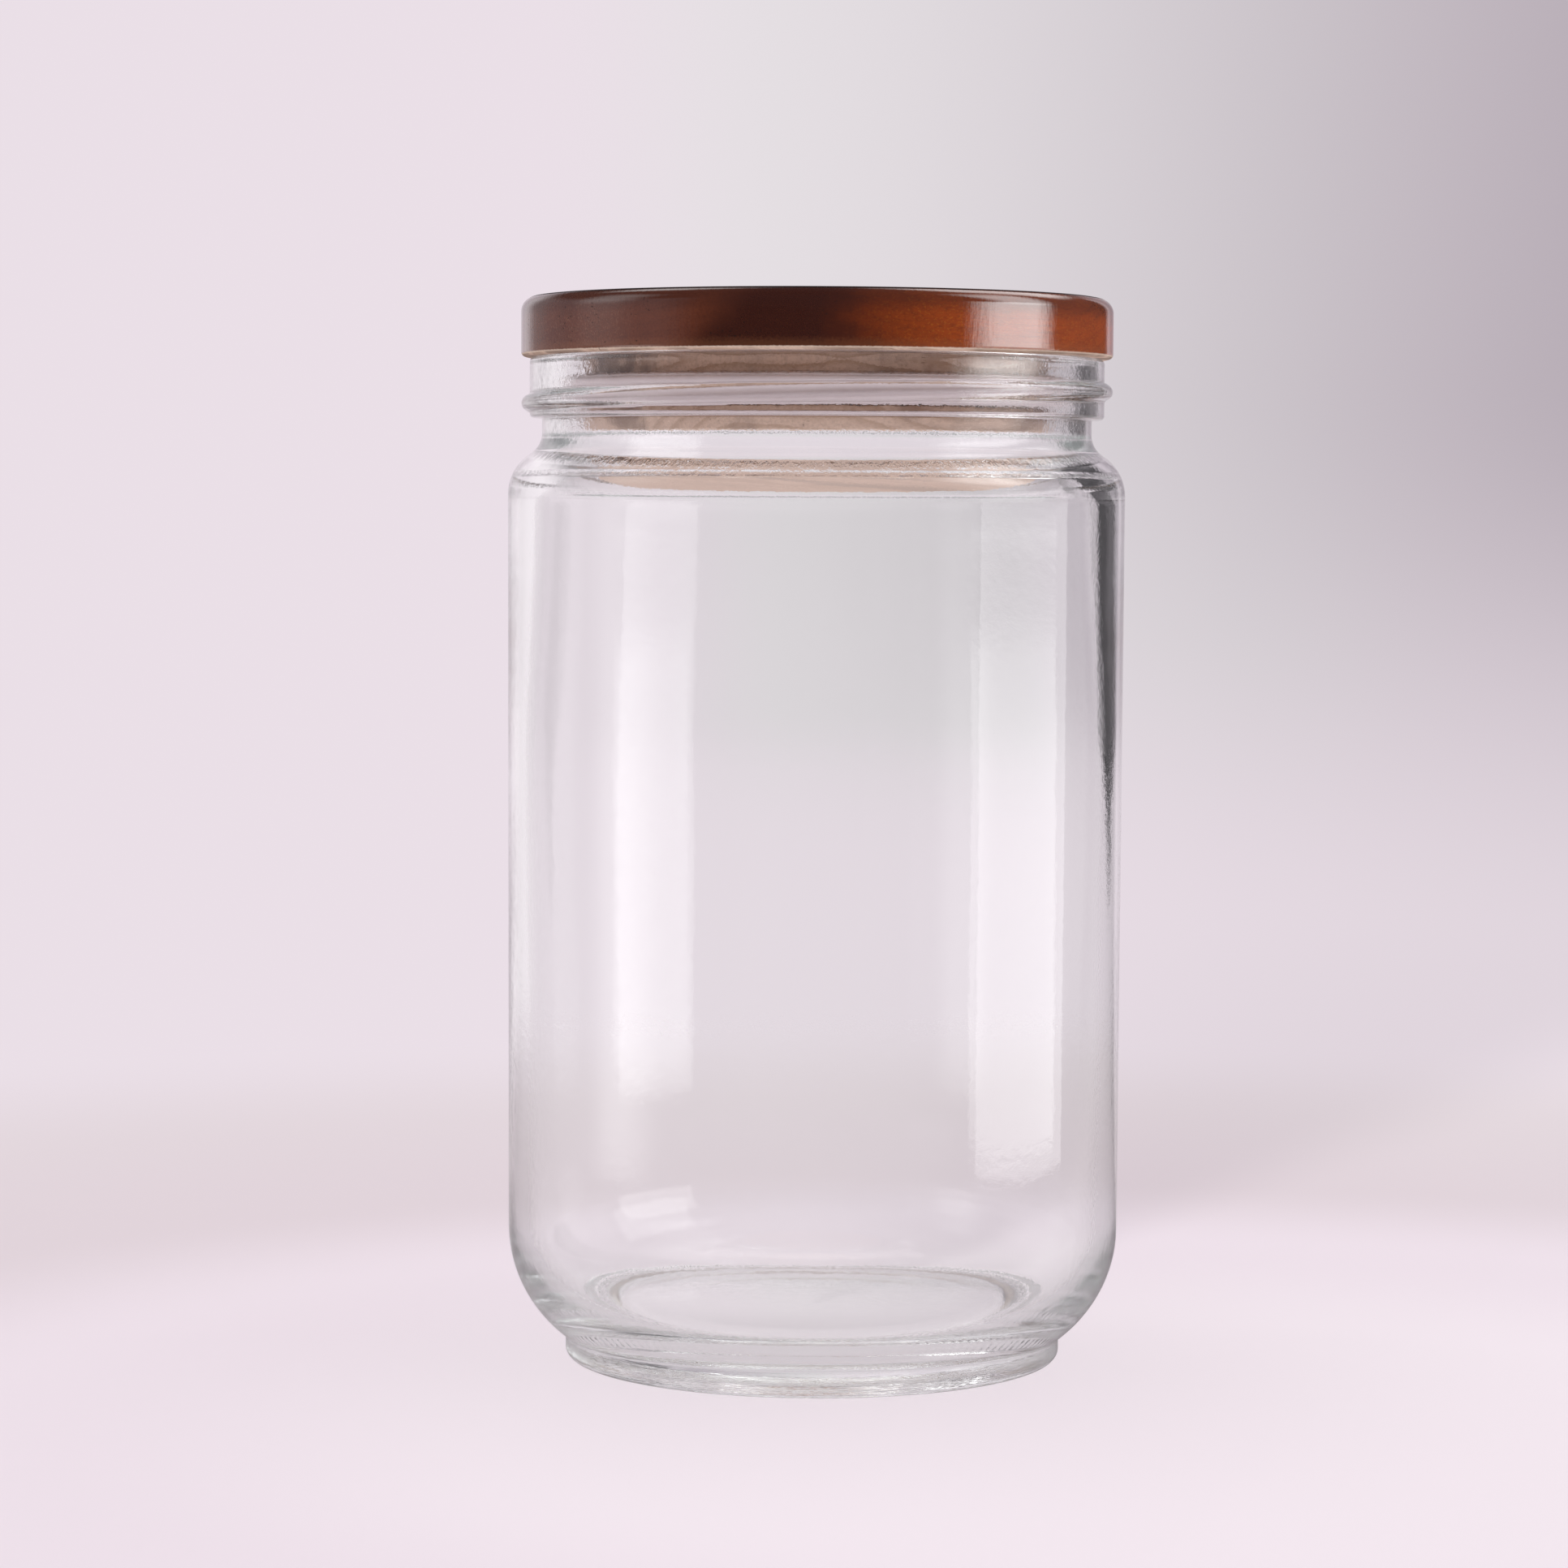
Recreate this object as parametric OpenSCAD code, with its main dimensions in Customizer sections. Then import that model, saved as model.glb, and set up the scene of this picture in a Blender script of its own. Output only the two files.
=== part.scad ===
// Storage jar of moulded glass with a turned wooden lid, which plugs the mouth through a soft ring.
// The origin is the centre of the ring that the jar stands on, and +Z points up through the lid.

/* [Glass body] */
// Height of the glass from the bearing ring to the rim
rim_h = 165.4; // [140:0.1:240]
// Outside diameter of the body just under the shoulder
body_d = 101.7; // [80:0.1:130]
// How much narrower the body is at the heel than at the shoulder
body_draft = 0.6; // [0:0.1:2]
// Thickness of the body's wall
wall_t = 3.5; // [2.5:0.1:5]
// Radius of the round shoulder, outside
shoulder_r = 8; // [6:0.1:12]
// Radius of the hollow between shoulder and neck, outside
neck_fillet_r = 4; // [2:0.1:6]

/* [Heel and foot] */
// Outside radius of the round heel
heel_r = 22.3; // [18:0.1:25]
// How far the foot ring's side stands in from the heel's widest line
foot_inset = 9.55; // [7:0.05:12]
// Height of the foot ring, where the heel meets it
foot_h = 3.8; // [3:0.1:6]
// Radius of the foot ring's lower outside edge
foot_edge_r = 1.6; // [0.6:0.1:2.4]
// Width of the flat ring that the jar stands on
bearing_w = 3; // [2:0.1:4.5]
// Depth of the sloping step just inside the bearing ring
recess_h = 1.4; // [0.8:0.1:2]
// Width of that sloping step
recess_w = 1; // [0.5:0.1:2]
// How far the underside rises further towards its middle
punt_rise = 2.2; // [1:0.1:2.6]
// Inside radius of the heel
heel_inner_r = 16; // [13:0.1:18]
// How far the line where the inner heel meets the floor lies inside the foot ring's side
floor_inset = 4.8; // [3:0.1:6]
// Height of that line
floor_h = 7.6; // [6.5:0.1:12]
// How far the floor rises further towards its middle
floor_rise = 2; // [0.5:0.1:3]

/* [Finish] */
// Width of the step by which the finish, the band with the thread, stands out from the neck
step_w = 2.05; // [1.2:0.05:3]
// Height of the finish, from the rim down to its step
finish_h = 10; // [8:0.1:14]
// How far the neck under the step stands in from the body
neck_inset = 5.6; // [4:0.1:9]
// Straight height of the neck under the step
neck_h = 2.4; // [1:0.1:6]
// Thickness of the neck's wall, inside which the mouth is one straight bore
neck_wall_t = 3.25; // [2.5:0.05:5]
// Radius of the rim's outside edge
rim_outer_r = 0.9; // [0.4:0.1:1.6]
// Radius of the rim's inside edge
rim_inner_r = 1.4; // [0.6:0.1:2.2]
// Radius of the edge above the step
step_edge_r = 0.7; // [0.3:0.1:1.2]

/* [Thread] */
// Height of the thread ridge over the finish
thread_h = 1.35; // [0.8:0.05:1.6]
// Width of the thread ridge at its foot
thread_w = 3.2; // [2.4:0.1:3.6]
// Length of the thread in turns
thread_turns = 1; // [0.8:0.05:1.1]
// Drop from the rim to the middle of the ridge at its upper end
thread_top_drop = 4.2; // [3.5:0.1:4.8]
// Height of the middle of the ridge over the step at its lower end
thread_low_rise = 1.2; // [0.8:0.1:2]
// Direction of the thread's upper end, in degrees round from +X
thread_end_angle = 90; // [0:5:355]
// Length over which each end of the ridge fades out, in degrees
thread_fade_angle = 28; // [10:1:45]

/* [Lid] */
// How far the cap stands out over the finish
cap_overhang = 1.4; // [0.5:0.1:4]
// Thickness of the cap
cap_t = 9.8; // [7:0.1:16]
// Radius of the cap's top edge
cap_top_edge_r = 2.4; // [1:0.1:3.2]
// Radius of the cap's bottom edge
cap_low_edge_r = 0.8; // [0.3:0.1:1.2]
// Room between the plug's side and the glass, which the ring bridges
plug_gap = 4; // [3.4:0.1:6]
// Radius of the plug's lower edge
plug_edge_r = 0.6; // [0.3:0.1:1.2]
// Height of wood between the cap and the groove
upper_land_h = 3.2; // [2:0.1:4]
// Height of the groove that holds the ring
groove_h = 5.2; // [4:0.1:5.8]
// Depth of that groove
groove_depth = 2; // [1:0.1:3]
// Height of wood under the groove
lower_land_h = 3.9; // [2:0.1:8]
// Direction of the glue line between the two staves, in degrees round from +X
glue_line_angle = -135; // [-180:1:180]

/* [Seal ring] */
// Gap between the ring and the walls of its groove
ring_fit_gap = 0.1; // [0.05:0.01:0.2]
// Thickness of the ring's band
ring_band_t = 2.6; // [2:0.1:3.2]
// Gap between the tips of the lips and the glass
ring_lip_gap = 0.2; // [0.1:0.05:0.6]
// Thickness of a lip at its root
lip_root_t = 1.3; // [0.9:0.05:1.5]
// Thickness of a lip at its round tip
lip_tip_t = 0.8; // [0.5:0.05:0.9]
// Number of lips
lip_count = 2; // [1:1:3]

/* [Hidden] */
$fn = 144;
arc_steps = 10;
full_turn = 360;

// How deep the foot of the thread ridge sits in the finish
thread_sink = 0.5;
thread_step_angle = 5;
thread_sides = 8;
// Share of the full section left at the very ends of the ridge, which lie inside the glass
thread_end_share = 0.1;

body_top_radius = body_d / 2;
body_low_radius = (body_d - body_draft) / 2;
neck_radius = body_top_radius - neck_inset;
mouth_radius = neck_radius - neck_wall_t;
finish_radius = neck_radius + step_w;
step_z = rim_h - finish_h;
neck_base_z = step_z - neck_h;
thread_rise = finish_h - thread_top_drop - thread_low_rise;

foot_radius = body_low_radius - foot_inset;
bearing_radius = foot_radius - foot_edge_r - bearing_w;
heel_centre_radius = body_low_radius - heel_r;
heel_reach = foot_radius - heel_centre_radius;
heel_centre_z = foot_h + sqrt(pow(heel_r, 2) - pow(heel_reach, 2));
floor_radius = foot_radius - floor_inset;
inner_heel_centre_radius = body_low_radius - wall_t - heel_inner_r;
inner_heel_reach = floor_radius - inner_heel_centre_radius;
inner_heel_centre_z = floor_h + sqrt(pow(heel_inner_r, 2) - pow(inner_heel_reach, 2));

cap_radius = finish_radius + cap_overhang;
cap_top_z = rim_h + cap_t;
plug_radius = mouth_radius - plug_gap;
groove_radius = plug_radius - groove_depth;
groove_top_z = rim_h - upper_land_h;
groove_base_z = groove_top_z - groove_h;
plug_base_z = groove_base_z - lower_land_h;

ring_inner_radius = groove_radius + ring_fit_gap;
ring_band_radius = ring_inner_radius + ring_band_t;
ring_lip_radius = mouth_radius - ring_lip_gap;
ring_base_z = groove_base_z + ring_fit_gap;
ring_h = groove_h - 2 * ring_fit_gap;

// Points of an arc round a centre; first is 1 where the outline already holds the arc's first point.
function arc(centre, radius, from, to, first = 0) =
    [for (i = [first:arc_steps])
        let (angle = from + (to - from) * i / arc_steps)
        [centre.x + radius * cos(angle), centre.y + radius * sin(angle)]];

// Points of a shallow dome from the axis out to a rim, which lies lower by the dome's rise.
function dome(radius, rim_z, rise) =
    let (
        ball_radius = (pow(radius, 2) + pow(rise, 2)) / (2 * rise),
        half_angle = asin(radius / ball_radius)
    )
    arc([0, rim_z + rise - ball_radius], ball_radius, 90, 90 - half_angle);

// Points of the S that leads from a wide wall up to a narrow one: a round, then the hollow that it runs into.
function shoulder(wide_radius, narrow_radius, top_z, round_r, hollow_r) =
    let (
        reach_share = (wide_radius - narrow_radius) / (round_r + hollow_r),
        turn = acos(max(0, 1 - reach_share)),
        round_z = top_z - (round_r + hollow_r) * sin(turn)
    )
    concat(
        arc([wide_radius - round_r, round_z], round_r, 0, turn),
        arc([narrow_radius + hollow_r, top_z], hollow_r, 180 + turn, 180, first = 1)
    );

function reversed(points) = [for (i = [len(points) - 1:-1:0]) points[i]];

// Half section of the outside of the glass, from the middle of the underside up to the rim.
function glass_outside() = concat(
    dome(bearing_radius - recess_w, recess_h, punt_rise),
    [[bearing_radius, 0]],
    arc([foot_radius - foot_edge_r, foot_edge_r], foot_edge_r, -90, 0),
    arc([heel_centre_radius, heel_centre_z], heel_r, -acos(heel_reach / heel_r), 0),
    shoulder(body_top_radius, neck_radius, neck_base_z, shoulder_r, neck_fillet_r),
    [[neck_radius, step_z]],
    arc([finish_radius - step_edge_r, step_z + step_edge_r], step_edge_r, -90, 0),
    arc([finish_radius - rim_outer_r, rim_h - rim_outer_r], rim_outer_r, 0, 90)
);

// Half section of the inside of the glass, from the middle of the floor up to the rim.
function glass_inside() = concat(
    dome(floor_radius, floor_h, floor_rise),
    arc([inner_heel_centre_radius, inner_heel_centre_z], heel_inner_r,
        -acos(inner_heel_reach / heel_inner_r), 0, first = 1),
    shoulder(body_top_radius - wall_t, mouth_radius, neck_base_z,
        shoulder_r - wall_t, neck_fillet_r + neck_wall_t),
    arc([mouth_radius + rim_inner_r, rim_h - rim_inner_r], rim_inner_r, 180, 90)
);

// One cross-section of the thread ridge at a share of its length: a half ellipse on a sunk foot.
function thread_section(along) =
    let (
        turned = thread_turns * full_turn,
        angle = thread_end_angle - turned * (1 - along),
        fade = min(1, along * turned / thread_fade_angle, (1 - along) * turned / thread_fade_angle),
        size_share = thread_end_share + (1 - thread_end_share) * sin(90 * fade),
        middle_z = rim_h - thread_top_drop - thread_rise * (1 - along)
    )
    [for (j = [0:thread_sides])
        let (
            swing = 180 * j / thread_sides,
            radius = finish_radius - thread_sink + (thread_h + thread_sink) * size_share * sin(swing)
        )
        [radius * cos(angle), radius * sin(angle), middle_z - thread_w / 2 * cos(swing)]];

// The thread ridge: cross-sections swept along a helix, with both ends faded into the finish.
module thread_ridge() {
    count = ceil(thread_turns * full_turn / thread_step_angle);
    side = thread_sides + 1;
    points = [for (i = [0:count]) each thread_section(i / count)];
    skin = [for (i = [0:count - 1], j = [0:thread_sides])
        let (
            here = i * side + j,
            beside = i * side + (j + 1) % side
        )
        each [[here, beside, here + side], [beside, beside + side, here + side]]];
    start_cap = [for (j = [thread_sides:-1:0]) j];
    end_cap = [for (j = [0:thread_sides]) count * side + j];
    polyhedron(points = points, faces = concat(skin, [start_cap, end_cap]), convexity = 4);
}

// Jar: one piece of glass, blown in a mould, with its finish pressed first.
module glass_jar() {
    color([0.84, 0.91, 0.89, 0.35])
    union() {
        rotate_extrude()
            polygon(concat(glass_outside(), reversed(glass_inside())));
        thread_ridge();
    }
}

// Half section of the lid's wood: the plug with its groove, then the cap.
function lid_section() = concat(
    [[0, plug_base_z]],
    arc([plug_radius - plug_edge_r, plug_base_z + plug_edge_r], plug_edge_r, -90, 0),
    [
        [plug_radius, groove_base_z],
        [groove_radius, groove_base_z],
        [groove_radius, groove_top_z],
        [plug_radius, groove_top_z],
        [plug_radius, rim_h]
    ],
    arc([cap_radius - cap_low_edge_r, rim_h + cap_low_edge_r], cap_low_edge_r, -90, 0),
    arc([cap_radius - cap_top_edge_r, cap_top_z - cap_top_edge_r], cap_top_edge_r, 0, 90),
    [[0, cap_top_z]]
);

// Half of the turned lid, on the side of the glue line that its direction starts from.
module lid_stave(direction) {
    rotate([0, 0, direction])
        rotate_extrude(angle = full_turn / 2)
            polygon(lid_section());
}

// Stave on the left of the lid, seen from the front.
module lid_stave_left() {
    color([0.36, 0.21, 0.16])
        lid_stave(glue_line_angle - full_turn / 2);
}

// Stave on the right of the lid, seen from the front.
module lid_stave_right() {
    color([0.46, 0.19, 0.09])
        lid_stave(glue_line_angle);
}

// Points of one lip, out from the band, round the tip and back.
function lip_points(middle_z) = concat(
    [[ring_band_radius, middle_z - lip_root_t / 2]],
    arc([ring_lip_radius - lip_tip_t / 2, middle_z], lip_tip_t / 2, -90, 90),
    [[ring_band_radius, middle_z + lip_root_t / 2]]
);

// Seal ring: a band in the plug's groove, with round-tipped lips that reach for the glass.
module seal_ring() {
    lip_spacing = ring_h / lip_count;
    color([0.86, 0.84, 0.88, 0.7])
    rotate_extrude()
        polygon(concat(
            [[ring_inner_radius, ring_base_z], [ring_band_radius, ring_base_z]],
            [for (i = [0:lip_count - 1]) each lip_points(ring_base_z + lip_spacing * (i + 1 / 2))],
            [[ring_band_radius, ring_base_z + ring_h], [ring_inner_radius, ring_base_z + ring_h]]
        ));
}

glass_jar();
lid_stave_left();
lid_stave_right();
seal_ring();
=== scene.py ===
# %% [markdown]
# # A glass storage jar with a turned wooden lid
# The real object is a blown glass jar with a pressed, threaded finish, closed by a lid that a wood turner
# cut from two glued staves. A soft silicone ring in the lid's plug holds it in the mouth.
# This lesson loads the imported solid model, gives every piece a finer visible mesh in the same place, and
# then paints each one with a material that is made from nodes alone.

# %% Load the frame
import math

import bpy
from mathutils import Matrix, Vector


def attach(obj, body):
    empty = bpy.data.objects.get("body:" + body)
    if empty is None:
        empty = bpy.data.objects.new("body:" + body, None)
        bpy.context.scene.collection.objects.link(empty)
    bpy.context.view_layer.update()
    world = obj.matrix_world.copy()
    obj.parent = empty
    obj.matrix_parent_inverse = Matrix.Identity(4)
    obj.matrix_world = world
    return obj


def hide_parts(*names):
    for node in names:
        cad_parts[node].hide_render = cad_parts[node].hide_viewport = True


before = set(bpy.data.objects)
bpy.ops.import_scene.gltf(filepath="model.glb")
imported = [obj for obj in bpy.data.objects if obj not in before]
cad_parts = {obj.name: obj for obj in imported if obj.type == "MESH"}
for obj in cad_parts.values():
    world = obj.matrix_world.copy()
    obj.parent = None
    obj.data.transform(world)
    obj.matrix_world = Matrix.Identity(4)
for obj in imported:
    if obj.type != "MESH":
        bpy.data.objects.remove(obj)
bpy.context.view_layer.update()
MM = 0.001

# %% [markdown]
# ## The camera
# The photograph was taken with a long lens from just below the height of the lid, so the jar's sides look
# parallel and the mouth is a very flat ellipse. A camera could be placed by eye, but its height and
# distance were worked out from the outline of the jar, so that every edge falls where it does in the
# picture. It looks a little to the left of the jar's axis, which puts the jar right of the middle with no
# lens shift.

# %% Camera
PICTURE_SIDE = 1932
FOCAL_PIXELS = 5774.3
SENSOR_WIDTH = 36.0
CAMERA_DISTANCE = 775 * MM
CAMERA_HEIGHT = 142 * MM
CAMERA_YAW = math.radians(0.377)
CAMERA_PITCH = math.radians(-3.46)
CAMERA_ROLL = math.radians(0.29)

camera_data = bpy.data.cameras.new("Camera")
camera_data.sensor_width = SENSOR_WIDTH
camera_data.lens = FOCAL_PIXELS * SENSOR_WIDTH / PICTURE_SIDE
camera_data.clip_start, camera_data.clip_end = 0.05, 30
camera = bpy.data.objects.new("Camera", camera_data)
bpy.context.scene.collection.objects.link(camera)
camera.rotation_mode = "QUATERNION"
camera.location = (0, -CAMERA_DISTANCE, CAMERA_HEIGHT)
level = Matrix.Rotation(CAMERA_YAW, 3, "Z") @ Matrix.Rotation(math.pi / 2 + CAMERA_PITCH, 3, "X")
camera.rotation_quaternion = (level @ Matrix.Rotation(CAMERA_ROLL, 3, "Z")).to_quaternion()
bpy.context.scene.camera = camera


def to_pixels(point):
    """Where a point in millimetres falls in the picture, from its top left corner."""
    turned_back = camera.rotation_quaternion.to_matrix().transposed()
    x, y, z = turned_back @ (Vector(point) * MM - camera.location)
    middle = PICTURE_SIDE / 2
    return round(middle + FOCAL_PIXELS * x / -z, 1), round(middle - FOCAL_PIXELS * y / -z, 1)


print("lens", round(camera_data.lens, 1))
print("foot at", to_pixels((0, -39.4, 0)), "rim at", to_pixels((0, -47.3, 165.4)))

# %% [markdown]
# ## Helpers for node trees
# Geometry, materials and light all come from node trees here, so small helpers keep each tree short: one
# adds a node and fills its inputs, a few do sums, and others turn one range of numbers into another, draw
# noise, or lay colours over each other.

# %% Node helpers


def put(tree, kind, inputs=(), **settings):
    """Adds a node, sets its properties, and fills inputs, by name or number, from values or sockets."""
    node = tree.nodes.new(kind)
    for name, value in settings.items():
        setattr(node, name, value)
    for key, value in dict(inputs).items():
        if isinstance(value, bpy.types.NodeSocket):
            tree.links.new(value, node.inputs[key])
        else:
            node.inputs[key].default_value = value
    return node


def calc(tree, operation, *terms):
    """One step of arithmetic, as the socket that holds its result."""
    return put(tree, "ShaderNodeMath", dict(enumerate(terms)), operation=operation).outputs[0]


def times(tree, *terms):
    return calc(tree, "MULTIPLY", *terms)


def plus(tree, *terms):
    return calc(tree, "ADD", *terms)


def minus(tree, *terms):
    return calc(tree, "SUBTRACT", *terms)


def larger(tree, *terms):
    return calc(tree, "MAXIMUM", *terms)


def split(tree, vector):
    """A vector's three parts."""
    return put(tree, "ShaderNodeSeparateXYZ", {0: vector}).outputs


def level_length(tree, vector):
    """The length of a vector's first two parts: for a place, how far it is from the axis."""
    return calc(tree, "SQRT", plus(tree, *[times(tree, part, part) for part in (vector[0], vector[1])]))


def ramp(tree, value, low, high, to_low=0.0, to_high=1.0, smooth=True):
    """A value between low and high, read as a share that runs from to_low to to_high and stops there."""
    steps = {"Value": value, "From Min": low, "From Max": high, "To Min": to_low, "To Max": to_high}
    kind = "SMOOTHSTEP" if smooth else "LINEAR"
    return put(tree, "ShaderNodeMapRange", steps, interpolation_type=kind).outputs["Result"]


def window(tree, value, rise, fall):
    """One between two ramps, each given by the values where it starts and ends, and nought outside."""
    return times(tree, ramp(tree, value, *rise), ramp(tree, value, *reversed(fall)))


def noise(tree, vector, scale, detail, **more):
    """A noise pattern's value."""
    drawn = {"Vector": vector, "Scale": scale, "Detail": detail, **more}
    return put(tree, "ShaderNodeTexNoise", drawn).outputs[0]


def stretch(tree, vector, scale):
    """A place scaled along each axis, so that a noise drawn on it is stretched."""
    return put(tree, "ShaderNodeMapping", {"Vector": vector, "Scale": scale}).outputs[0]


def dents(tree, strength, distance, height):
    """The normal that a height gives."""
    bumped = {"Strength": strength, "Distance": distance, "Height": height}
    return put(tree, "ShaderNodeBump", bumped).outputs[0]


def blend_colours(tree, share, first, second):
    """Two colours mixed by a share."""
    node = put(tree, "ShaderNodeMix", data_type="RGBA", clamp_factor=True)
    for socket, value in zip((node.inputs[0], node.inputs[6], node.inputs[7]), (share, first, second)):
        if isinstance(value, bpy.types.NodeSocket):
            tree.links.new(value, socket)
        else:
            socket.default_value = value
    return node.outputs[2]


def layered(tree, base, coats):
    """A colour with others laid over it in turn, each by its own share."""
    for share, colour in coats:
        base = blend_colours(tree, share, base, colour)
    return base


def sockets(tree, side, named):
    """Declares a tree's own inputs or outputs, from names and socket types."""
    for name, kind in named.items():
        tree.interface.new_socket(name=name, in_out=side, socket_type="NodeSocket" + kind)


def place_group(tree, group, inputs):
    """The outputs of a node group's node, with its inputs filled."""
    return put(tree, "ShaderNodeGroup", inputs, node_tree=group).outputs


def ray_kinds(tree):
    """The light path, with masks for rays mirrored off a surface and for rays reflected inside glass."""
    rays = put(tree, "ShaderNodeLightPath").outputs
    mirrored = larger(tree, minus(tree, rays["Is Glossy Ray"], rays["Is Transmission Ray"]), 0.0)
    bounced = minus(tree, calc(tree, "MINIMUM", rays["Glossy Depth"], 1.0), mirrored)
    return rays, mirrored, bounced


# %% [markdown]
# ## The outline of the glass
# A mould is a shape of revolution, so the glass is told by one line that runs from the middle of the
# underside, out round the foot and up the outside, over the rim and down the inside to the middle of the
# floor. The line could be drawn by hand as a curve. Arcs and straight runs with the solid model's own
# sizes are safer, because the two then lie in the same place. Points are dense where the line bends and
# where the thread will rise, and each point also carries how wavy the glass is there.

# %% Outline tools


def arc(centre, radius, start, end, steps, first=0):
    """Points round a centre, in degrees from outwards, anticlockwise."""
    turns = [math.radians(start + (end - start) * i / steps) for i in range(first, steps + 1)]
    return [(centre[0] + radius * math.cos(t), centre[1] + radius * math.sin(t)) for t in turns]


def run(start, end, steps, first=0):
    """Evenly spaced points on a straight line."""
    shares = [i / steps for i in range(first, steps + 1)]
    return [tuple(a + (b - a) * s for a, b in zip(start, end)) for s in shares]


def dome(radius, rim_z, rise, steps):
    """A shallow dome's points, from the axis out to its rim."""
    ball = (radius ** 2 + rise ** 2) / (2 * rise)
    return arc((0, rim_z + rise - ball), ball, 90, 90 - math.degrees(math.asin(radius / ball)), steps)


def shoulder(wide, narrow, top_z, round_r, hollow_r, steps):
    """The S from a wide wall up to a narrow one: a round, then the hollow that it runs into."""
    turn = math.acos(1 - (wide - narrow) / (round_r + hollow_r))
    round_z = top_z - (round_r + hollow_r) * math.sin(turn)
    turn = math.degrees(turn)
    return (arc((wide - round_r, round_z), round_r, 0, turn, steps)
            + arc((narrow + hollow_r, top_z), hollow_r, 180 + turn, 180, steps, first=1))


def ease(start, end, steps):
    """Points on a wall whose radius slides from one value to another, and is upright at both ends."""
    points = []
    for i in range(steps + 1):
        s = i / steps
        slide = s * s * (3 - 2 * s)
        points.append((start[0] + (end[0] - start[0]) * slide, start[1] + (end[1] - start[1]) * s))
    return points


# %% Outline of the jar
INNER_TOP_R, INNER_WAIST_R, INNER_LOW_R, WAIST_Z = 46.4, 47.7, 47.05, 100.0
BODY_TOP_R, BODY_LOW_R = 50.85, 50.55
NECK_R, NECK_Z, STEP_Z = 45.25, 153.0, 155.4
FINISH_R, MOUTH_R, RIM_Z = 47.3, 42.0, 165.4
BEARING_R, FOOT_R, FOOT_EDGE_R = 36.4, 41.0, 1.6
HEEL_R, HEEL_Z, HEEL_START = 22.3, 22.09, -55.12
INNER_HEEL_R, INNER_HEEL_Z, INNER_HEEL_START = 16.0, 22.75, -71.23
SHOULDER_R, HOLLOW_R = 8.0, 4.0
INNER_SHOULDER_R, INNER_HOLLOW_R, INNER_NECK_Z = 5.5, 5.5, 150.5
EDGE_R, RIM_OUTER_R, RIM_INNER_R = 0.7, 0.9, 1.4
FLOOR_R, FLOOR_Z, FLOOR_RISE = 36.2, 7.6, 2.0
RECESS_R, RECESS_Z, PUNT_RISE = 35.4, 1.4, 2.2

outline = []


def draw(points, wobble=0.0, ridge=0.0, mark=0.0):
    """Adds points, with the waviness in mm and whether the thread or the foot's marks may be there."""
    for point in points:
        if not outline or math.dist(point, outline[-1][0]) > 0.01:
            outline.append((point, wobble, ridge, mark))


draw(dome(RECESS_R, RECESS_Z, PUNT_RISE, 8), wobble=0.02)
draw(run((RECESS_R + 0.35, RECESS_Z - 0.35), (BEARING_R - 0.2, 0.2), 2))
draw(run((BEARING_R, 0.03), (FOOT_R - FOOT_EDGE_R, 0.03), 6), mark=1.0)
draw(arc((FOOT_R - FOOT_EDGE_R, FOOT_EDGE_R), FOOT_EDGE_R, -85, 0, 7))
draw(run((FOOT_R, FOOT_EDGE_R + 0.3), (FOOT_R, 3.4), 2))
draw(arc((FOOT_R + 0.32, 3.42), 0.32, 180, 130, 2))
draw(arc((BODY_LOW_R - HEEL_R, HEEL_Z), HEEL_R, HEEL_START + 0.8, 0, 15), wobble=0.02)
draw(run((BODY_LOW_R, HEEL_Z + 2), (BODY_TOP_R, 141.0), 20), wobble=0.024)
draw(shoulder(BODY_TOP_R, NECK_R, NECK_Z, SHOULDER_R, HOLLOW_R, 9), wobble=0.015)
draw(run((NECK_R, NECK_Z + 0.3), (NECK_R, STEP_Z - 0.4), 3))
draw(arc((NECK_R + 0.3, STEP_Z - 0.3), 0.3, 180, 90, 3))
draw(arc((FINISH_R - EDGE_R, STEP_Z + EDGE_R), EDGE_R, -90, 0, 5), ridge=1.0)
draw(run((FINISH_R, STEP_Z + EDGE_R + 0.1), (FINISH_R, 163.2), 30), ridge=1.0)
draw(run((FINISH_R, 163.5), (FINISH_R, RIM_Z - RIM_OUTER_R - 0.1), 2))
draw(arc((FINISH_R - RIM_OUTER_R, RIM_Z - RIM_OUTER_R), RIM_OUTER_R, 0, 90, 6))
draw(run((FINISH_R - RIM_OUTER_R - 0.2, RIM_Z), (MOUTH_R + RIM_INNER_R + 0.2, RIM_Z), 2))
draw(arc((MOUTH_R + RIM_INNER_R, RIM_Z - RIM_INNER_R), RIM_INNER_R, 90, 180, 7))
draw(run((MOUTH_R, 163.5), (MOUTH_R, INNER_NECK_Z + 0.6), 8), wobble=0.012)
inner_shoulder = shoulder(INNER_TOP_R, MOUTH_R, INNER_NECK_Z, INNER_SHOULDER_R, INNER_HOLLOW_R, 10)
draw(reversed(inner_shoulder), wobble=0.04)
draw(ease((INNER_TOP_R, 141.0), (INNER_WAIST_R, WAIST_Z), 10), wobble=0.07)
draw(ease((INNER_WAIST_R, WAIST_Z), (INNER_LOW_R, INNER_HEEL_Z + 1), 12), wobble=0.09)
inner_heel_x = INNER_LOW_R - INNER_HEEL_R
draw(arc((inner_heel_x, INNER_HEEL_Z), INNER_HEEL_R, 0, INNER_HEEL_START, 15), wobble=0.06)
draw(reversed(dome(FLOOR_R, FLOOR_Z, FLOOR_RISE, 8)[:-1]), wobble=0.03)
print("outline points:", len(outline))


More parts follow.
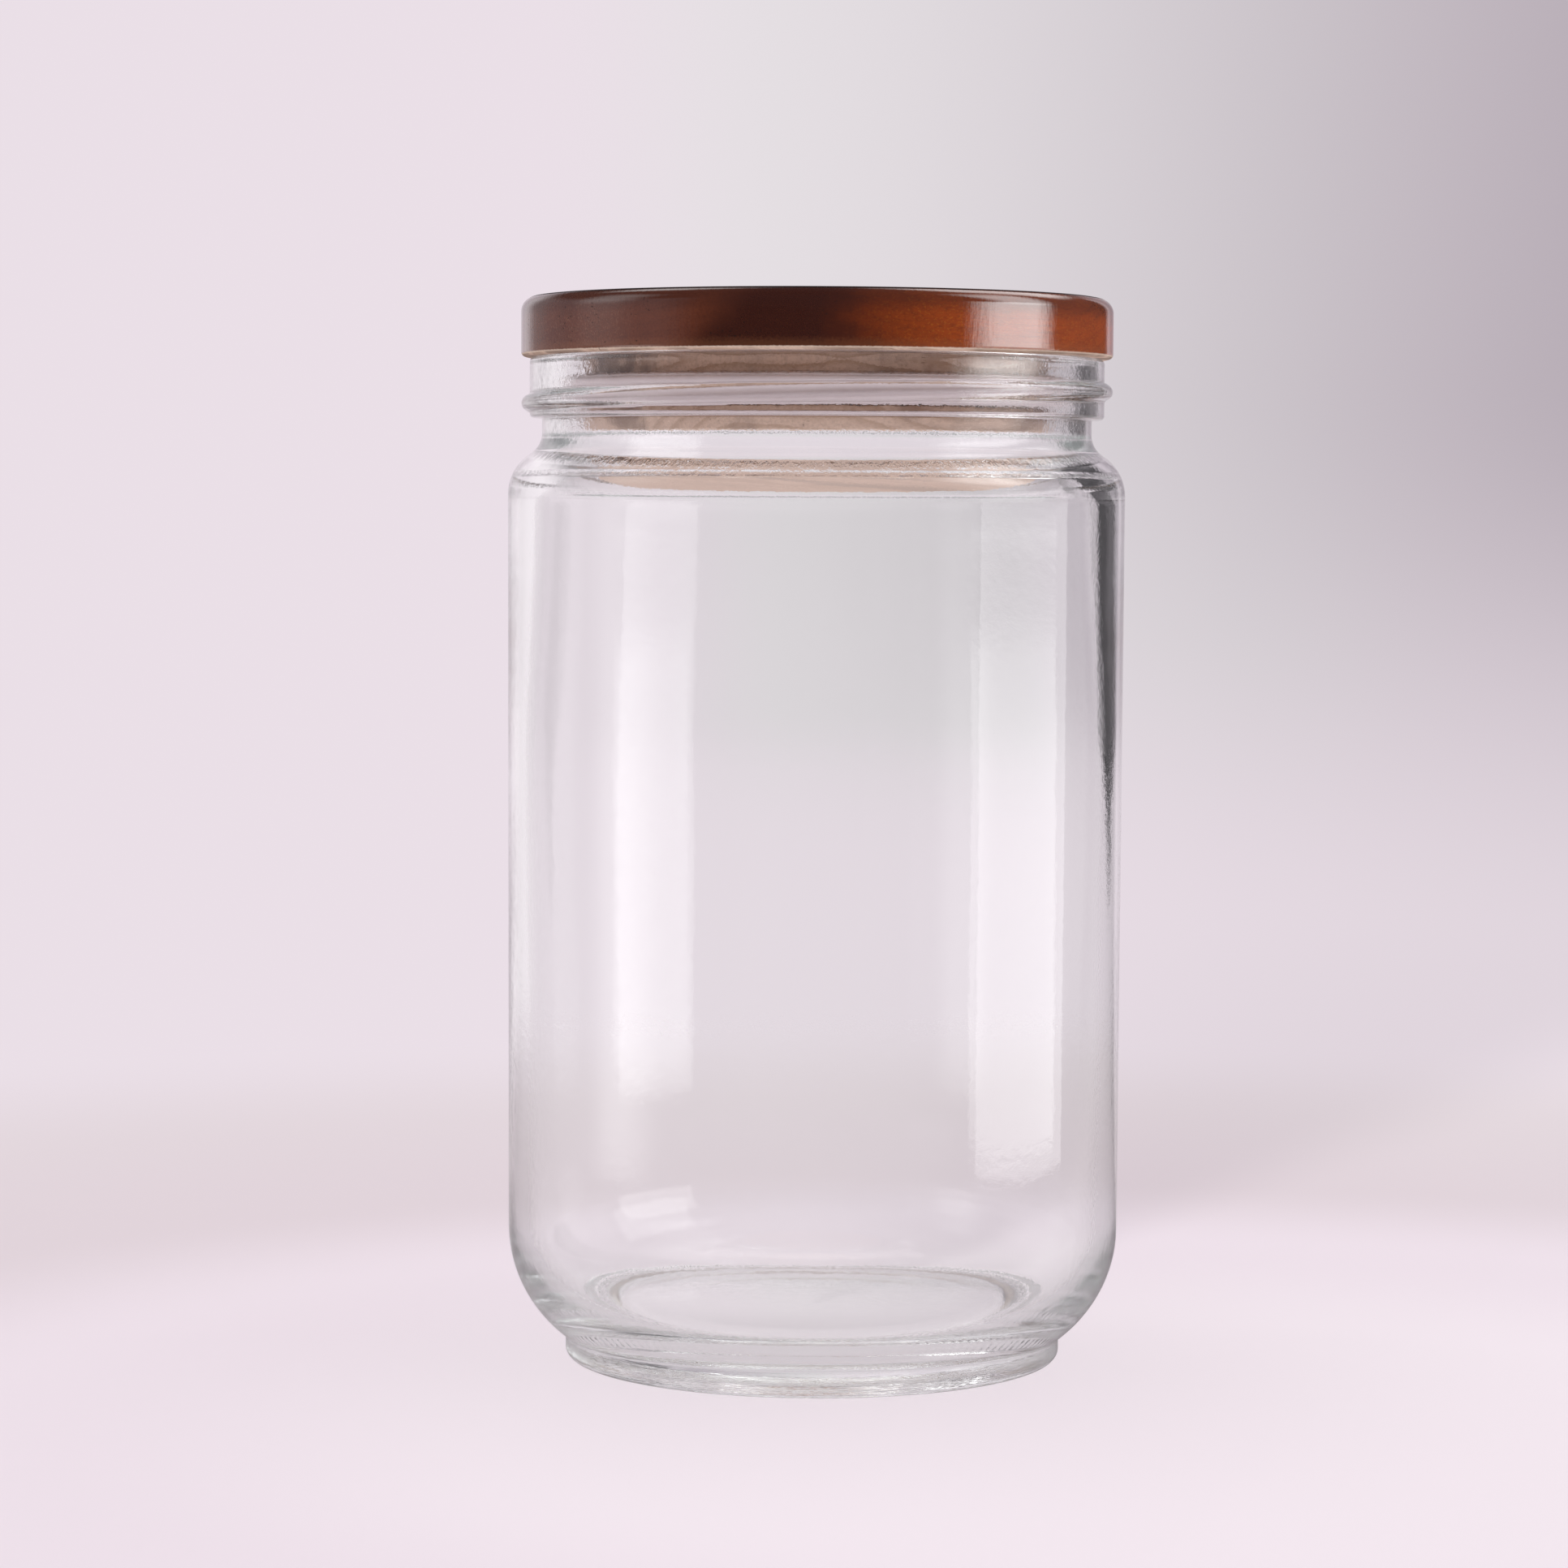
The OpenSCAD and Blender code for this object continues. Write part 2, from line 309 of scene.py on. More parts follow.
def outline_mesh(name, rows):
    """A line of points at (radius, 0, height), with each one's waviness, ridge, mark and outward way."""
    mesh = bpy.data.meshes.new(name)
    steps = [(i, i + 1) for i in range(len(rows) - 1)]
    mesh.from_pydata([(p[0] * MM, 0, p[1] * MM) for p, *_ in rows], steps, [])
    for column, label in enumerate(("wobble", "ridge", "mark"), start=1):
        scale = MM if label == "wobble" else 1.0
        values = [row[column] * scale for row in rows]
        mesh.attributes.new(label, "FLOAT", "POINT").data.foreach_set("value", values)
    ways = mesh.attributes.new("way", "FLOAT_VECTOR", "POINT")
    for i in range(len(rows)):
        before, after = rows[max(i - 1, 0)][0], rows[min(i + 1, len(rows) - 1)][0]
        along = Vector((after[0] - before[0], after[1] - before[1])).normalized()
        ways.data[i].vector = (along[1], 0, -along[0])
    return mesh


# %% [markdown]
# ## Turning the outline into glass
# The jar could be spun with the Screw modifier, but then the thread would have to be a second mesh stuck
# on, and glass shows every such joint. In this Geometry Nodes tree the outline is wrapped round the axis
# and the same nodes lift the thread out of the wall, one turn that climbs as it goes round. They also
# press the ring of fine marks into the foot, which stop a hot jar from sticking to the belt, and give the
# walls the slight waves of blown glass. Everything is then one closed skin, as the real jar is.

# %% Geometry Nodes tree for turned shells
TURN = 2 * math.pi


def build_turned_shell():
    tree = bpy.data.node_groups.new("Turned_Shell", "GeometryNodeTree")
    sockets(tree, "INPUT", {
        "Outline": "Geometry", "Segments": "Int", "Thread Height": "Float", "Thread Width": "Float",
        "Thread Top": "Float", "Thread Rise": "Float", "Thread Fade": "Float", "Marks": "Int",
        "Mark Depth": "Float", "Wave Length": "Float", "Seed": "Float", "Material": "Material"})
    sockets(tree, "OUTPUT", {"Shell": "Geometry"})
    given = tree.nodes.new("NodeGroupInput").outputs
    counted = put(tree, "GeometryNodeAttributeDomainSize", {"Geometry": given["Outline"]})
    rows = counted.outputs["Point Count"]
    columns = plus(tree, given["Segments"], 1.0)
    grid = put(tree, "GeometryNodeMeshGrid", {"Vertices X": rows, "Vertices Y": columns}).outputs["Mesh"]
    index = tree.nodes.new("GeometryNodeInputIndex").outputs[0]
    row = put(tree, "FunctionNodeIntegerMath", {0: index, 1: columns}, operation="DIVIDE_FLOOR").outputs[0]
    column = put(tree, "FunctionNodeIntegerMath", {0: index, 1: columns}, operation="MODULO").outputs[0]

    def from_outline(value, kind):
        asked = {"Geometry": given["Outline"], "Value": value, "Index": row}
        return put(tree, "GeometryNodeSampleIndex", asked, data_type=kind).outputs["Value"]

    def carried(label, kind="FLOAT"):
        named = put(tree, "GeometryNodeInputNamedAttribute", {"Name": label}, data_type=kind)
        return from_outline(named.outputs["Attribute"], kind)

    place = from_outline(tree.nodes.new("GeometryNodeInputPosition").outputs[0], "FLOAT_VECTOR")
    radius, _, height = split(tree, place)
    way_out, _, way_up = split(tree, carried("way", "FLOAT_VECTOR"))
    share = calc(tree, "DIVIDE", column, given["Segments"])
    angle = times(tree, share, TURN)
    cosine, sine = calc(tree, "COSINE", angle), calc(tree, "SINE", angle)

    # The thread: how far along its one turn this column is, and how far from its middle this row is.
    along = calc(tree, "FRACT", plus(tree, share, 0.75))
    middle = minus(tree, given["Thread Top"], times(tree, given["Thread Rise"], minus(tree, 1.0, along)))
    off = calc(tree, "DIVIDE", calc(tree, "ABSOLUTE", minus(tree, height, middle)),
               times(tree, given["Thread Width"], 0.5))
    bell = calc(tree, "POWER", larger(tree, minus(tree, 1.0, calc(tree, "POWER", off, 2.2)), 0.0), 0.85)
    near_end = calc(tree, "MINIMUM", along, minus(tree, 1.0, along))
    faded = ramp(tree, calc(tree, "DIVIDE", near_end, given["Thread Fade"]), 0.0, 1.0)
    lift = times(tree, times(tree, bell, faded), times(tree, carried("ridge"), given["Thread Height"]))

    # The waves: each wall moves along its own outward way, and only inwards from the mould.
    around = put(tree, "ShaderNodeCombineXYZ", {
        0: times(tree, radius, cosine), 1: times(tree, radius, sine),
        2: times(tree, height, 0.6)}).outputs[0]
    waves = put(tree, "ShaderNodeTexNoise", {
        "Vector": around, "W": given["Seed"], "Detail": 1.5,
        "Scale": calc(tree, "DIVIDE", 1.0, given["Wave Length"])}, noise_dimensions="4D").outputs[0]
    swell = times(tree, minus(tree, waves, 1.0), times(tree, carried("wobble"), 2.0))

    # The marks: short ribs across the bearing ring; between them the glass stands back.
    rib = calc(tree, "ABSOLUTE", minus(tree, calc(tree, "FRACT", times(tree, share, given["Marks"])), 0.5))
    back = times(tree, times(tree, ramp(tree, rib, 0.1, 0.4), carried("mark")), given["Mark Depth"])

    out = plus(tree, plus(tree, radius, lift), times(tree, swell, way_out))
    up = plus(tree, plus(tree, height, back), times(tree, swell, way_up))
    at_axis = calc(tree, "GREATER_THAN", radius, 1e-6)
    out = times(tree, out, at_axis)
    spot = put(tree, "ShaderNodeCombineXYZ", {
        0: times(tree, out, cosine), 1: times(tree, out, sine), 2: up}).outputs[0]
    wrapped = put(tree, "GeometryNodeSetPosition", {"Geometry": grid, "Position": spot}).outputs[0]
    closed = put(tree, "GeometryNodeMergeByDistance", {"Geometry": wrapped, "Distance": 2e-6}).outputs[0]
    turned_out = put(tree, "GeometryNodeFlipFaces", {"Mesh": closed}).outputs[0]
    smooth = {"Geometry": turned_out, "Shade Smooth": True}
    rounded = put(tree, "GeometryNodeSetShadeSmooth", smooth).outputs[0]
    real = put(tree, "GeometryNodeRealizeInstances", {"Geometry": rounded}).outputs[0]
    painted = put(tree, "GeometryNodeSetMaterial", {"Geometry": real, "Material": given["Material"]})
    put(tree, "NodeGroupOutput", {"Shell": painted.outputs[0]})
    return tree


turned_shell = build_turned_shell()
print("tree", turned_shell.name, "has", len(turned_shell.nodes), "nodes")


def grow(name, source_mesh, tree, values):
    """Runs a Geometry Nodes tree on a mesh and keeps the result as a plain mesh object."""
    piece = bpy.data.objects.new(name, source_mesh)
    bpy.context.scene.collection.objects.link(piece)
    modifier = piece.modifiers.new("Shape", "NODES")
    modifier.node_group = tree
    for item in tree.interface.items_tree:
        if item.in_out == "INPUT" and item.name in values:
            modifier[item.identifier] = values[item.name]
    depsgraph = bpy.context.evaluated_depsgraph_get()
    mesh = bpy.data.meshes.new_from_object(piece.evaluated_get(depsgraph), depsgraph=depsgraph)
    mesh.name = name
    piece.modifiers.remove(modifier)
    piece.data = mesh
    return piece


def measure(piece):
    """Prints a piece's box in mm, its triangles, and its volume, positive when faces point outwards."""
    mesh = piece.data
    mesh.calc_loop_triangles()
    spots = [v.co for v in mesh.vertices]
    corners = (triangle.vertices for triangle in mesh.loop_triangles)
    volume = sum(spots[a].dot(spots[b].cross(spots[c])) for a, b, c in corners) / 6
    low = [round(min(s[i] for s in spots) / MM, 2) for i in range(3)]
    high = [round(max(s[i] for s in spots) / MM, 2) for i in range(3)]
    print(piece.name, low, high, len(mesh.loop_triangles), "triangles,", round(volume * 1e9), "mm3")


# %% [markdown]
# ## Fine surface effects
# The glass and the lacquer both have a skin that isn't quite flat, which breaks up the edges of
# reflections. It could be painted as bumps in each material by hand. One node group with named inputs does
# it for the glass and the silicone ring, at each material's own scale, and puts out a height for that
# material's Bump node. The lacquer's dimples and runs are drawn in its own material.

# %% Orange peel group


def build_orange_peel():
    tree = bpy.data.node_groups.new("Orange_Peel", "ShaderNodeTree")
    sockets(tree, "INPUT", {"Vector": "Vector", "Size": "Float", "Fine": "Float"})
    sockets(tree, "OUTPUT", {"Height": "Float"})
    given = tree.nodes.new("NodeGroupInput").outputs
    scale = calc(tree, "DIVIDE", 1.0, given["Size"])
    soft = noise(tree, given["Vector"], scale, 2.0)
    fine = noise(tree, given["Vector"], times(tree, scale, 5.0), 1.0)
    total = plus(tree, soft, times(tree, fine, given["Fine"]))
    put(tree, "NodeGroupOutput", {"Height": total})
    return tree


orange_peel = build_orange_peel()


def new_material(name):
    """An empty material with its output node, and the object coordinates that patterns are drawn on."""
    material = bpy.data.materials.new(name)
    material.use_nodes = True
    tree = material.node_tree
    tree.nodes.clear()
    where = put(tree, "ShaderNodeTexCoord").outputs["Object"]
    return material, tree, put(tree, "ShaderNodeOutputMaterial"), where


# %% [markdown]
# ## Glass
# Soda-lime glass is clear, with a green that only shows where the eye looks through a lot of it, as along
# the walls and through the heel. A tinted surface would colour thin and thick parts alike, so the tint is
# in the volume. The light path switch lets lamps shine through the jar onto the floor and the lid's plug,
# which a ray tracer would otherwise shade as if the glass were solid.

# %% Glass material
GLASS_COLOUR, GLASS_SHADE = (0.988, 0.996, 0.991, 1), (0.99, 0.994, 0.991, 1)
GREEN_TINT, TINT_DENSITY = (0.60, 0.92, 0.84, 1), 1.0
RIPPLE_ALL, RIPPLE_PRESSED, RIPPLE_PARTING = 0.12, 0.6, 2.6
PARTING_RISE, PARTING_FALL = (145.6 * MM, 146.2 * MM), (146.3 * MM, 146.9 * MM)

glass, tree, surface, where = new_material("clear_glass")
x, y, height = split(tree, where)
outside_floor = ramp(tree, level_length(tree, (x, y)), 36.4 * MM, 38 * MM)
skin = place_group(tree, orange_peel, {"Vector": where, "Size": 0.006, "Fine": 0.15})[0]

# Where the mould presses the glass, in the finish and the foot, and along its parting line, it is rougher.
ripple = place_group(tree, orange_peel, {"Vector": where, "Size": 0.0013, "Fine": 0.35})[0]
pressed = larger(tree, ramp(tree, height, 149 * MM, 152 * MM),
                 times(tree, ramp(tree, height, 14 * MM, 6 * MM, 0.0, 0.2), outside_floor))
parting = window(tree, height, PARTING_RISE, PARTING_FALL)
depth = plus(tree, plus(tree, times(tree, pressed, RIPPLE_PRESSED), RIPPLE_ALL),
             times(tree, parting, RIPPLE_PARTING))
skin = plus(tree, skin, times(tree, ripple, times(tree, depth, 5.0)))

# Fine level lines run round the foot.
mould_lines = noise(tree, stretch(tree, where, (260, 260, 4200)), 1.0, 2.0)
on_foot = times(tree, ramp(tree, height, 4.6 * MM, 3.4 * MM, 0.0, 5.0), outside_floor)
skin = plus(tree, skin, times(tree, mould_lines, on_foot))
clear = put(tree, "ShaderNodeBsdfPrincipled", {
    "Base Color": GLASS_COLOUR, "Roughness": 0.0, "IOR": 1.52, "Transmission Weight": 1.0,
    "Normal": dents(tree, 1.0, 0.00001, skin)})
shade = put(tree, "ShaderNodeBsdfTransparent", {0: GLASS_SHADE})
rays = put(tree, "ShaderNodeLightPath").outputs
lamp_ray = larger(tree, rays["Is Shadow Ray"], rays["Is Diffuse Ray"])
choice = put(tree, "ShaderNodeMixShader", {0: lamp_ray, 1: clear.outputs[0], 2: shade.outputs[0]})
tint = put(tree, "ShaderNodeVolumeAbsorption", {"Color": GREEN_TINT, "Density": TINT_DENSITY})
tree.links.new(choice.outputs[0], surface.inputs["Surface"])
tree.links.new(tint.outputs[0], surface.inputs["Volume"])

# %% Blow the jar
jar = grow("Jar_Glass", outline_mesh("Jar_Outline", outline), turned_shell, {
    "Segments": 432, "Thread Height": 1.35 * MM, "Thread Width": 3.1 * MM, "Thread Top": 161.2 * MM,
    "Thread Rise": 4.6 * MM, "Thread Fade": 28 / 360, "Marks": 144, "Mark Depth": 0.25 * MM,
    "Wave Length": 26 * MM, "Seed": 3.7, "Material": glass})
measure(jar)

# %% [markdown]
# ## The lid's wood
# Each stave is half of a turned disc. Its edge and its plug are cut by the same tool in one turn, so a
# half section is spun through half a circle and closed by the flat face where the two are glued. A Boolean
# cut would do the same, but a spun mesh has cleaner faces.

# %% Section of the lid
CAP_R, CAP_Z = 48.7, 175.2
PLUG_R, PLUG_Z, GROOVE_R = 38.0, 153.1, 36.0
GROOVE_LOW_Z, GROOVE_TOP_Z = 157.0, 162.2
CAP_TOP_EDGE, CAP_LOW_EDGE, PLUG_EDGE, CORNER = 2.4, 0.8, 0.6, 0.12
CAP_MIDDLE_Z = 170.0

lid_outline = (
    run((0, PLUG_Z), (PLUG_R - PLUG_EDGE - 0.3, PLUG_Z), 6)
    + arc((PLUG_R - PLUG_EDGE, PLUG_Z + PLUG_EDGE), PLUG_EDGE, -90, 0, 6)
    + [(PLUG_R, GROOVE_LOW_Z - CORNER), (PLUG_R - CORNER, GROOVE_LOW_Z)]
    + [(GROOVE_R + CORNER, GROOVE_LOW_Z), (GROOVE_R, GROOVE_LOW_Z + CORNER)]
    + [(GROOVE_R, GROOVE_TOP_Z - CORNER), (GROOVE_R + CORNER, GROOVE_TOP_Z)]
    + [(PLUG_R - CORNER, GROOVE_TOP_Z), (PLUG_R, GROOVE_TOP_Z + CORNER)]
    + [(PLUG_R, RIM_Z - CORNER), (PLUG_R + CORNER, RIM_Z), (CAP_R - CAP_LOW_EDGE - 0.2, RIM_Z)]
    + arc((CAP_R - CAP_LOW_EDGE, RIM_Z + CAP_LOW_EDGE), CAP_LOW_EDGE, -90, 0, 8)
    + run((CAP_R, RIM_Z + CAP_LOW_EDGE + 0.1), (CAP_R, CAP_Z - CAP_TOP_EDGE - 0.1), 4)
    + arc((CAP_R - CAP_TOP_EDGE, CAP_Z - CAP_TOP_EDGE), CAP_TOP_EDGE, 0, 90, 14)
    + run((CAP_R - CAP_TOP_EDGE - 0.3, CAP_Z), (0, CAP_Z), 8))
print("lid section points:", len(lid_outline))


def half_disc(name, section, start_degrees, steps=168):
    """Spins a section that starts and ends on the axis through half a circle, and closes the flat face."""
    inner = section[1:-1]
    spots = [(0, 0, section[0][1]), (0, 0, section[-1][1])]
    for step in range(steps + 1):
        angle = math.radians(start_degrees + 180 * step / steps)
        spots += [(r * math.cos(angle), r * math.sin(angle), z) for r, z in inner]
    count = len(inner)

    def at(step, i):
        return 2 + step * count + i

    faces = []
    for step in range(steps):
        faces.append((0, at(step + 1, 0), at(step, 0)))
        for i in range(count - 1):
            faces.append((at(step, i), at(step + 1, i), at(step + 1, i + 1), at(step, i + 1)))
        faces.append((at(step, count - 1), at(step + 1, count - 1), 1))
    near, far = [at(0, i) for i in range(count)], [at(steps, i) for i in reversed(range(count))]
    faces.append([0] + near + [1] + far)
    mesh = bpy.data.meshes.new(name)
    mesh.from_pydata([tuple(c * MM for c in s) for s in spots], [], faces)
    mesh.polygons.foreach_set("use_smooth", [True] * len(mesh.polygons))
    mesh.set_sharp_from_angle(angle=math.radians(28))
    piece = bpy.data.objects.new(name, mesh)
    bpy.context.scene.collection.objects.link(piece)
    return piece


# %% [markdown]
# ## Wood
# The lid is a fine, close hardwood such as acacia. On the cap it is stained red-brown and lacquered to a
# gloss, while the underside and the plug are bare and pale. A picture wrapped round the disc would stretch
# at its edge, so the figure is drawn in the solid: growth rings about a heart below the board, long fibres
# along the glue line, and pores that are dots on the ends and dashes on the sides.

# %% Wood figure group
GRAIN_TURN = math.radians(-45)
SWAY = 0.011


def build_wood_figure():
    tree = bpy.data.node_groups.new("Wood_Figure", "ShaderNodeTree")
    sockets(tree, "INPUT", {
        "Vector": "Vector", "Ring Width": "Float", "Heart Side": "Float", "Heart Depth": "Float"})
    sockets(tree, "OUTPUT", dict.fromkeys(
        ("Rings", "Fibres", "Pores", "Flecks", "Clouds", "Along", "Across"), "Float"))
    given = tree.nodes.new("NodeGroupInput").outputs
    turned = {"Vector": given["Vector"], "Rotation": (0, 0, GRAIN_TURN)}
    grain = put(tree, "ShaderNodeMapping", turned).outputs[0]

    # The rings sway, as they do in a tree that didn't grow quite straight.
    swaying = {"Vector": stretch(tree, grain, (14, 34, 34)), "Scale": 1.0, "Detail": 3.0}
    sway = put(tree, "ShaderNodeTexNoise", swaying).outputs["Color"]
    middle = (0.5, 0.5, 0.5)
    sway = put(tree, "ShaderNodeVectorMath", {0: sway, 1: middle}, operation="SUBTRACT").outputs[0]
    sway = put(tree, "ShaderNodeVectorMath", {0: sway, 3: SWAY}, operation="SCALE").outputs[0]
    bent = put(tree, "ShaderNodeVectorMath", {0: grain, 1: sway}, operation="ADD").outputs[0]
    along, across, height = split(tree, bent)
    sideways = minus(tree, across, given["Heart Side"])
    upwards = minus(tree, height, given["Heart Depth"])
    from_heart = level_length(tree, (sideways, upwards))
    ring = calc(tree, "FRACT", calc(tree, "DIVIDE", from_heart, given["Ring Width"]))
    late = window(tree, ring, (0.35, 0.93), (0.94, 1.0))

    def streaks(x, y, z, detail, roughness=0.5):
        return noise(tree, stretch(tree, grain, (x, y, z)), 1.0, detail, Roughness=roughness)

    clusters = ramp(tree, streaks(60, 150, 150, 1.0), 0.46, 0.62)
    pores = ramp(tree, streaks(220, 2300, 2300, 1.0), 0.66, 0.73)
    put(tree, "NodeGroupOutput", {
        "Rings": late, "Fibres": streaks(60, 2600, 2600, 3.0, 0.65), "Pores": times(tree, pores, clusters),
        "Flecks": ramp(tree, streaks(900, 4600, 3200, 2.0), 0.52, 0.70),
        "Clouds": streaks(20, 70, 70, 4.0, 0.6), "Along": along, "Across": across})
    return tree


wood_figure = build_wood_figure()

# %% Wood colours
BARE_WOOD, BARE_LATE_WOOD = (0.68, 0.50, 0.385, 1), (0.48, 0.32, 0.22, 1)
BARE_FIBRE, BARE_KNOT, BARE_PORE = (0.35, 0.22, 0.15, 1), (0.20, 0.12, 0.085, 1), (0.12, 0.07, 0.045, 1)
PAINTED_RIM_LIGHT, PAINTED_END_LIGHT, PAINTED_BAND_SHADE = (0.84, 0.72, 0.56, 1), (0.88, 0.74, 0.62, 1), (0.24, 0.145, 0.095, 1)
HEARTWOOD, OPEN_WOOD = (0.047, 0.0075, 0.002, 1), (0.60, 0.100, 0.004, 1)
DULL_WOOD, LATE_WOOD = (0.145, 0.036, 0.013, 1), (0.06, 0.014, 0.006, 1)
STAINED_FIBRE, CLOUD = (0.06, 0.011, 0.004, 1), (0.05, 0.009, 0.0035, 1)
GOLD_FLECK, DUST, STAINED_PORE = (0.60, 0.20, 0.015, 1), (0.40, 0.22, 0.13, 1), (0.02, 0.008, 0.006, 1)
LOWER_EDGE_GOLD, UPPER_EDGE_DARK = (0.30, 0.12, 0.045, 1), (0.05, 0.012, 0.007, 1)
PAINTED_DARK_REFLECTION, GLUE = (0.008, 0.003, 0.003, 1), (0.05, 0.02, 0.012, 1)

# %% Wood material
STAIN_END, STAIN_EDGE = 165.88 * MM, 0.25 * MM
RING_WIDTH = 2.1 * MM


def build_wood(name, heart_side, heart_depth):
    wood, tree, surface, where = new_material(name)
    figure = place_group(tree, wood_figure, {
        "Vector": where, "Ring Width": RING_WIDTH, "Heart Side": heart_side, "Heart Depth": heart_depth})
    x, y, z = split(tree, where)
    reach = level_length(tree, (x, y))
    speckle = noise(tree, where, 2600.0, 2.0)

    # Bare wood: pale beige, with darker rings, grey-brown fibres, knots and pores. The cap's low edge, the
    # plug's end and its lower side get painted light, and a band just below the groove gets painted shade.
    # Painted light: the cap's low edge is paler, as if lit from below.
    rim = times(tree, ramp(tree, reach, 44 * MM, 47.5 * MM),
                ramp(tree, z, 165.6 * MM, 165.8 * MM, 0.2, 0.75))
    # Painted light: the plug's end and its lower side are paler.
    lit_low_end = larger(tree, ramp(tree, z, 153.35 * MM, 153.15 * MM, 0.0, 0.6),
                     ramp(tree, z, 155.6 * MM, 154.8 * MM, 0.0, 0.22))
    # Painted shade: a darker band on the plug just below the groove.
    shaded_band = window(tree, z, (154.9 * MM, 155.7 * MM), (156.9 * MM, 157.3 * MM))
    bare = layered(tree, BARE_WOOD, (
        (figure["Rings"], BARE_LATE_WOOD),
        (times(tree, ramp(tree, figure["Fibres"], 0.4, 0.7), 0.5), BARE_FIBRE),
        (ramp(tree, figure["Clouds"], 0.49, 0.63), BARE_KNOT),
        (times(tree, figure["Pores"], 0.8), BARE_PORE),
        (rim, PAINTED_RIM_LIGHT), (lit_low_end, PAINTED_END_LIGHT), (times(tree, shaded_band, 0.4), PAINTED_BAND_SHADE)))

    # Stained wood: a streak of dense heartwood runs beside the glue line, where the stain is nearly black.
    # Towards the outer edge of the board the wood is open and takes the stain as a clear orange.
    lean = times(tree, minus(tree, z, CAP_MIDDLE_Z * MM), 0.85)
    across = plus(tree, plus(tree, figure["Across"], times(tree, figure["Clouds"], 0.006)), lean)
    outwards = minus(tree, times(tree, figure["Along"], 0.35), figure["Across"])
    openness = ramp(tree, outwards, 0.023, 0.056, smooth=False)
    dull = ramp(tree, across, -0.022, -0.014)
    ring_share = ramp(tree, z, 174.6 * MM, 175.1 * MM, 0.12, 0.55)
    streaky = ramp(tree, figure["Fibres"], 0.42, 0.72)
    calm = larger(tree, ramp(tree, openness, 0.0, 0.8), dull)
    cloudy = times(tree, ramp(tree, figure["Clouds"], 0.50, 0.66), ramp(tree, calm, 0.0, 1.0, 0.6, 0.22))
    flecked = times(tree, figure["Flecks"], ramp(tree, openness, 0.1, 0.6, 0.02, 0.24))
    dusty = times(tree, figure["Flecks"], ramp(tree, across, -0.012, 0.006, 0.0, 0.20))
    pitted = times(tree, figure["Pores"], ramp(tree, openness, 0.0, 0.5, 0.85, 0.1))

    # Towards the bottom of the edge the colour turns lighter and golden, and towards the top darker. A
    # thin line of painted dark reflection runs on the turn of the top edge.
    low = ramp(tree, plus(tree, z, times(tree, speckle, 0.0016)), 168.5 * MM, 167.0 * MM)
    clouded_z = plus(tree, z, times(tree, figure["Clouds"], 0.004))
    darker_upwards = ramp(tree, clouded_z, 172.6 * MM, 175.8 * MM, 0.0, 0.6)
    # Painted reflection: a near-black line on the turn of the top edge.
    dark_edge_reflection = times(tree, ramp(tree, z, 174.80 * MM, 175.02 * MM),
                     ramp(tree, reach, 46.2 * MM, 46.8 * MM))
    dark_edge_reflection = times(tree, dark_edge_reflection, 0.9)
    stained = layered(tree, HEARTWOOD, (
        (openness, OPEN_WOOD), (dull, DULL_WOOD), (times(tree, figure["Rings"], ring_share), LATE_WOOD),
        (times(tree, streaky, 0.32), STAINED_FIBRE), (cloudy, CLOUD), (flecked, GOLD_FLECK), (dusty, DUST),
        (pitted, STAINED_PORE), (times(tree, low, 0.22), LOWER_EDGE_GOLD), (darker_upwards, UPPER_EDGE_DARK),
        (dark_edge_reflection, PAINTED_DARK_REFLECTION)))

    # The stain ends in a soft edge under the cap, and the glue line crosses both.
    on_cap = ramp(tree, plus(tree, z, times(tree, speckle, 0.0002)), STAIN_END, STAIN_END + STAIN_EDGE)
    side = minus(tree, times(tree, y, math.cos(math.pi / 4)), times(tree, x, math.sin(math.pi / 4)))
    glued = ramp(tree, calc(tree, "ABSOLUTE", side), 0.16 * MM, 0.05 * MM)
    glued = times(tree, glued, ramp(tree, on_cap, 0.0, 1.0, 0.5, 0.12))
    colour = layered(tree, bare, ((on_cap, stained), (glued, GLUE)))

    # The lacquer's skin has fine dimples and upright runs; it misses the pits and the painted dark
    # reflection.
    grain_height = minus(tree, times(tree, figure["Fibres"], 0.35), figure["Pores"])
    dimples = noise(tree, where, 900.0, 3.0, Roughness=0.6)
    runs = noise(tree, stretch(tree, where, (1500, 1500, 260)), 1.0, 2.0)
    missed = larger(tree, dark_edge_reflection, times(tree, pitted, 0.8))
    body = put(tree, "ShaderNodeBsdfPrincipled", {
        "Base Color": colour, "Roughness": 0.65, "IOR": 1.45, "Specular IOR Level": 0.08,
        "Normal": dents(tree, 0.5, 0.00005, grain_height),
        "Coat Weight": times(tree, on_cap, minus(tree, 1.0, missed)), "Coat Roughness": 0.05,
        "Coat IOR": 1.75,
        "Coat Normal": dents(tree, 1.0, 0.000015, plus(tree, dimples, runs))})
    tree.links.new(body.outputs[0], surface.inputs["Surface"])
    return wood


LEFT_TURN, RIGHT_TURN = 45, -135
lid_left = half_disc("Lid_Stave_Left", lid_outline, LEFT_TURN)
lid_left.data.materials.append(build_wood("stained_wood_left", 0.012, 0.135))
lid_right = half_disc("Lid_Stave_Right", lid_outline, RIGHT_TURN)
lid_right.data.materials.append(build_wood("stained_wood_right", -0.022, 0.128))
measure(lid_left)
measure(lid_right)

# %% [markdown]
# ## The seal ring
# The ring is moulded silicone: a flat band in the plug's groove with two round-tipped lips. It lets light
# through but scatters it, so the wood behind looks milky and lilac-grey. It is turned by the same tree as
# the jar, from its own outline, with no thread, marks or waves.

